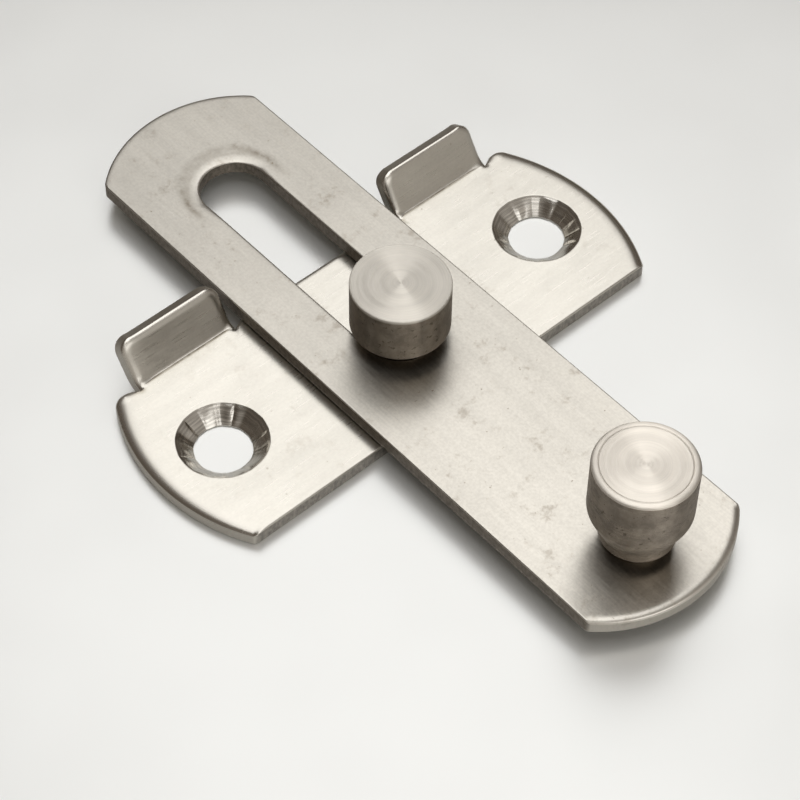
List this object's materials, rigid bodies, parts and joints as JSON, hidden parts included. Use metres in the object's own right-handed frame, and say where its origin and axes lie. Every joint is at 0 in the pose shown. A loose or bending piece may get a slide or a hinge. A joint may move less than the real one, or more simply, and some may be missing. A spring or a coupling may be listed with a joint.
{
  "type": "slide bar latch",
  "caption": "Flat steel latch: a slotted bar with a finger knob slides on a headed stud riveted to a base plate with two bent-up guide tabs and countersunk screw holes.",
  "frame": {"origin": "on the guide stud's axis, in the plane of the base plate's underside", "axes": "+X along the base plate from one screw hole to the other, +Y the way the bar's plain end points when the latch is thrown (the knob is at the -Y end), +Z out of the door"},
  "size_m": [0.0718, 0.1001, 0.0186],
  "materials": {
    "plate_steel": "stamped stainless sheet, finely brushed, tumbled edges",
    "turned_steel": "turned stainless bar, fine concentric tool marks",
    "bar_steel": "stainless sheet brushed along its length, rolled slot rim",
    "knob_steel": "turned stainless bar, fine concentric tool marks, bevelled rim"
  },
  "bodies": {
    "base": {"base_plate": "plate_steel"},
    "stud": {"guide_stud": "turned_steel"},
    "bolt": {"slide_bar": "bar_steel", "pull_knob": "knob_steel"}
  },
  "joints": [
    {"name": "bar_swing", "type": "hinge", "parent": "base", "child": "stud", "pos_m": [0, 0, 0.0033], "axis": [0, 0, 1], "range_deg": [-3, 3]},
    {"name": "bar_slide", "type": "slide", "parent": "stud", "child": "bolt", "axis": [0, 1, 0], "range_m": [-0.0322, 0]}
  ]
}
